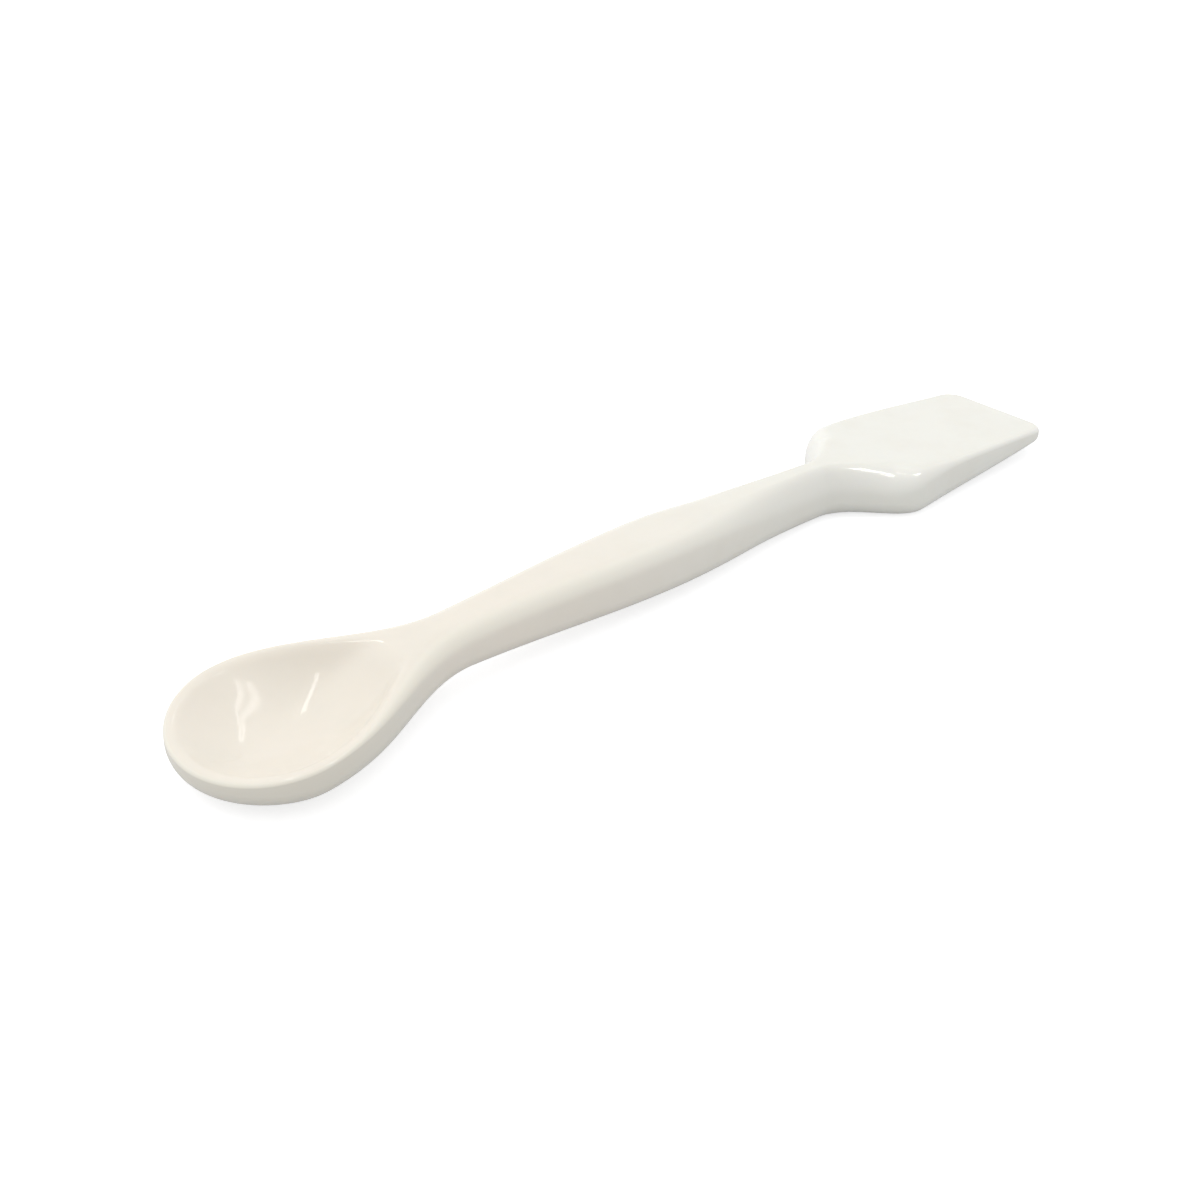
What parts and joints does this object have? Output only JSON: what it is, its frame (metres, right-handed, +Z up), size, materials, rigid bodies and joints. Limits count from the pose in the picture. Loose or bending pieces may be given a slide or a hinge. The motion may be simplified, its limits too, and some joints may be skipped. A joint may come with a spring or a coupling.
{
  "type": "spoon spatula",
  "caption": "One-piece glazed porcelain lab spatula: an oval spoon at one end, a slim waisted handle and a flat tapered blade at the other, for scooping and scraping powders.",
  "frame": {"origin": "centre of the bounding box at the bench it lies on", "axes": "+X along the length from the spoon to the blade, +Z up, the hollow of the spoon opens upwards"},
  "size_m": [0.15, 0.0268, 0.0096],
  "materials": {
    "porcelain": "smooth clear glaze, glossy"
  },
  "bodies": {
    "root": {"spatula": "porcelain"}
  },
  "joints": []
}
